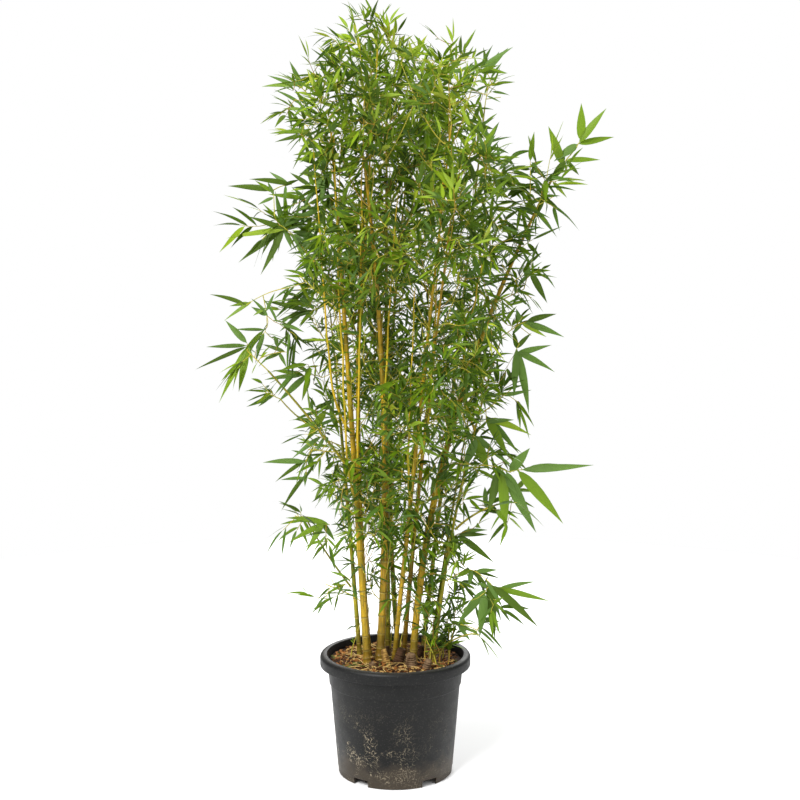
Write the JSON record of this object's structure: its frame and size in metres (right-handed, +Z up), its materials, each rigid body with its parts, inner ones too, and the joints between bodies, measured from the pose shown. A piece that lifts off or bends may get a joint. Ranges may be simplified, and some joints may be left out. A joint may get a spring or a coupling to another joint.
{
  "type": "potted bamboo",
  "caption": "Clump of slim yellow-green bamboo canes with narrow leaves in airy sprays, growing in bark potting mix in a round black nursery pot.",
  "frame": {"origin": "centre of the pot's flat underside", "axes": "+Z up, -Y to the front, +X to the right"},
  "size_m": [0.7555, 0.6302, 1.4094],
  "materials": {
    "pot_plastic": "matte moulded charcoal plastic, dusty and flecked with dried soil",
    "potting_mix": "loose brown bark and coir with straw-coloured fibres",
    "cane": "smooth waxy cane, ochre yellow shading to green",
    "bough": "smooth thin cane",
    "foliage_bright": "satin leaf, yellow-green",
    "foliage_green": "satin leaf, mid green"
  },
  "bodies": {
    "root": {"pot": "pot_plastic", "soil": "potting_mix", "cane_left_thin": "cane", "cane_left_thick": "cane", "cane_left_inner": "cane", "cane_centre_thick": "cane", "cane_centre_rear": "cane", "cane_back": "cane", "cane_front_right": "cane", "cane_front": "cane", "cane_right_thick": "cane", "cane_back_right": "cane", "cane_right_thin": "cane", "cane_right_short": "cane", "bough_left_high": "bough", "bough_left_long": "bough", "bough_left_side": "bough", "bough_left_low": "bough", "bough_right_long": "bough", "bough_right_low": "bough", "crown_left_rear": "foliage_bright", "crown_left_top": "foliage_bright", "crown_top": "foliage_bright", "crown_front_left": "foliage_bright", "crown_top_rear": "foliage_bright", "crown_back": "foliage_bright", "crown_front_right": "foliage_bright", "crown_front": "foliage_bright", "crown_right_tip": "foliage_bright", "crown_back_right": "foliage_bright", "crown_right": "foliage_bright", "crown_right_rear": "foliage_bright", "spray_left_high": "foliage_green", "spray_left_upper": "foliage_green", "spray_left_long": "foliage_green", "spray_left_side": "foliage_green", "spray_left_inner": "foliage_green", "spray_left_mid": "foliage_green", "spray_left_low": "foliage_green", "spray_left_foot": "foliage_green", "spray_right_high": "foliage_green", "spray_right_upper": "foliage_green", "spray_right_mid": "foliage_green", "spray_right_inner": "foliage_green", "spray_right_long": "foliage_green", "spray_right_lower": "foliage_green", "spray_right_low": "foliage_green", "spray_right_back": "foliage_green", "front_low": "foliage_bright", "front_mid": "foliage_bright", "front_high": "foliage_bright", "front_upper": "foliage_bright", "front_right": "foliage_bright", "middle_left": "foliage_bright", "middle_top": "foliage_bright", "middle_right": "foliage_bright", "back_low": "foliage_bright", "back_mid": "foliage_bright", "back_high": "foliage_bright", "back_right": "foliage_bright"}
  },
  "joints": []
}
